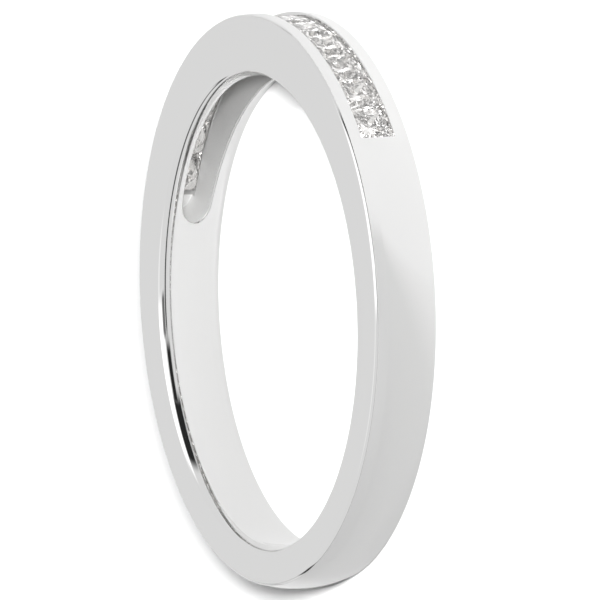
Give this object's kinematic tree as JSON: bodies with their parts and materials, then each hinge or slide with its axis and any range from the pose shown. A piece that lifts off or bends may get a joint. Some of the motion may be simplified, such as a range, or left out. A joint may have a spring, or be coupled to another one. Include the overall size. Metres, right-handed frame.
{
  "type": "channel set band",
  "caption": "Polished white gold finger ring with a row of square cut diamonds held in a channel between two walls.",
  "frame": {"origin": "centre of the finger hole, on its axis and half way along its width", "axes": "+Z along the finger hole's axis, up when the ring lies on its side; +Y from the hole's centre to the middle of the row of stones"},
  "size_m": [0.0212, 0.0212, 0.0024],
  "materials": {
    "white_gold": "mirror polished white gold with a fine satin inside the slot",
    "diamond": "clear colourless diamond with polished facets"
  },
  "bodies": {
    "root": {"band": "white_gold", "stone_01": "diamond", "stone_02": "diamond", "stone_03": "diamond", "stone_04": "diamond", "stone_05": "diamond", "stone_06": "diamond", "stone_07": "diamond", "stone_08": "diamond", "stone_09": "diamond", "stone_10": "diamond", "stone_11": "diamond", "stone_12": "diamond", "stone_13": "diamond", "stone_14": "diamond"}
  },
  "joints": []
}
